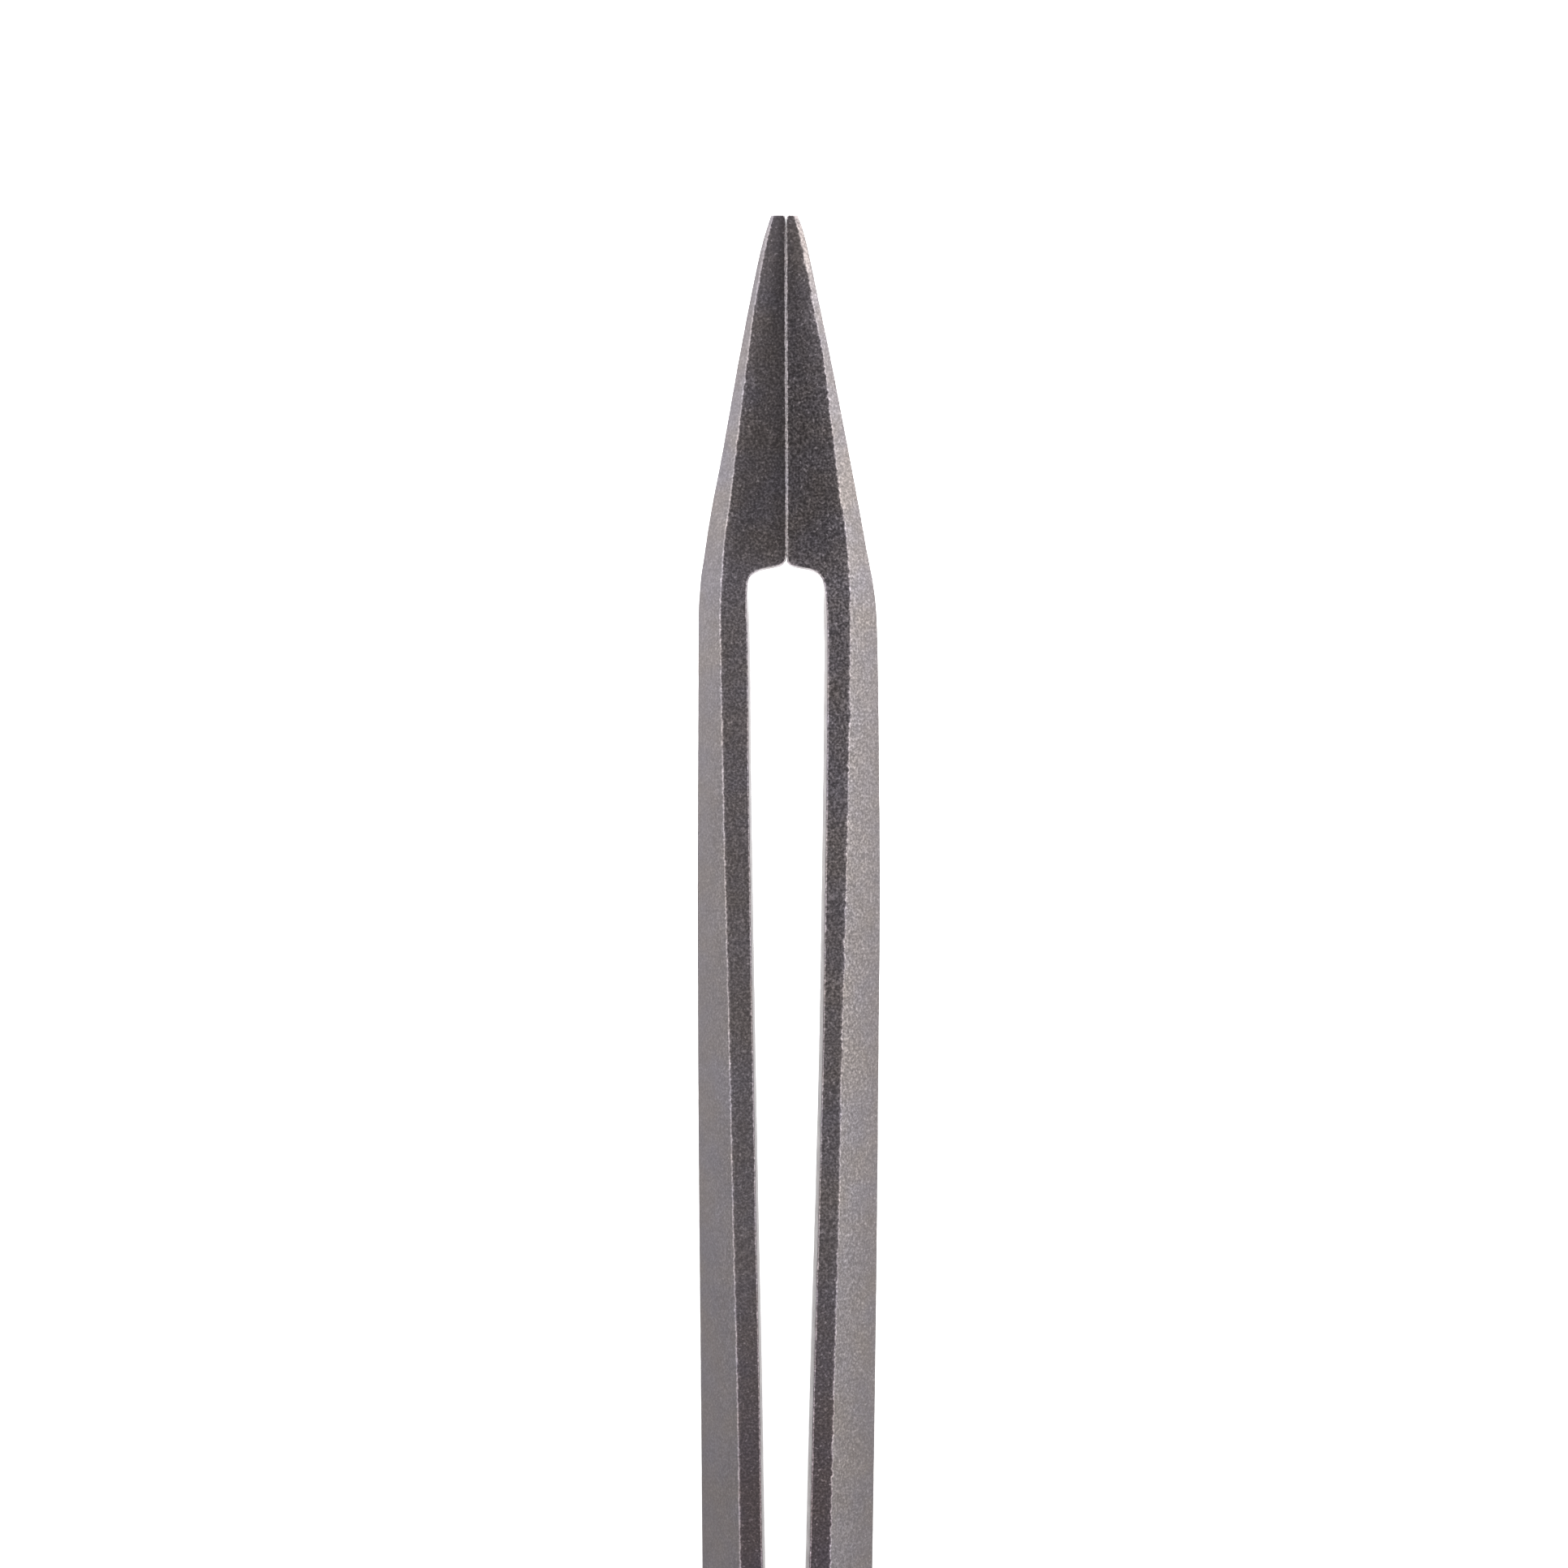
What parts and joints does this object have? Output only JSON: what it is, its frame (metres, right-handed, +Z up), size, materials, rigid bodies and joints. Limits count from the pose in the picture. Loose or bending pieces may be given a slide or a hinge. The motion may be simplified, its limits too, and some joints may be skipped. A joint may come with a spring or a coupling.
{
  "type": "tweezers",
  "caption": "All-metal fine-point tweezers with faceted arms, a relieved slot behind the jaws, thinned spring leaves and a riveted heel.",
  "frame": {"origin": "middle of the tool's underside, on the mid plane between the two jaws, where the tool lies on a flat surface", "axes": "+Y along the tool towards the tips, +X towards the right arm, +Z up through the tool's depth; the arms open apart along X"},
  "size_m": [0.0079, 0.11, 0.008],
  "materials": {
    "blasted_steel_left": "fine bead-blasted stainless steel, matt grey",
    "blasted_steel_right": "slightly coarser bead-blasted stainless steel, matt grey",
    "spacer_steel": "blasted stainless plate, darker edge",
    "rivet_steel": "stainless rivet, domed and blasted head"
  },
  "bodies": {
    "heel": {"left_tail": "blasted_steel_left", "right_tail": "blasted_steel_right", "heel_spacer": "spacer_steel", "front_rivet": "rivet_steel", "rear_rivet": "rivet_steel"},
    "left_arm": {"left_arm": "blasted_steel_left"},
    "right_arm": {"right_arm": "blasted_steel_right"}
  },
  "joints": [
    {"name": "left_arm_flex", "type": "hinge", "parent": "heel", "child": "left_arm", "pos_m": [-0.00072, -0.035, 0.004], "axis": [0, 0, 1], "range_deg": [0, 3.2], "stiffness_Nm_per_rad": 2.4, "springref_deg": 3.2},
    {"name": "right_arm_flex", "type": "hinge", "parent": "heel", "child": "right_arm", "pos_m": [0.00072, -0.035, 0.004], "axis": [0, 0, -1], "range_deg": [0, 3.2], "stiffness_Nm_per_rad": 2.4, "springref_deg": 3.2}
  ],
  "couplings": [
    {"joint": "right_arm_flex", "follows": "left_arm_flex", "ratio": 1}
  ]
}
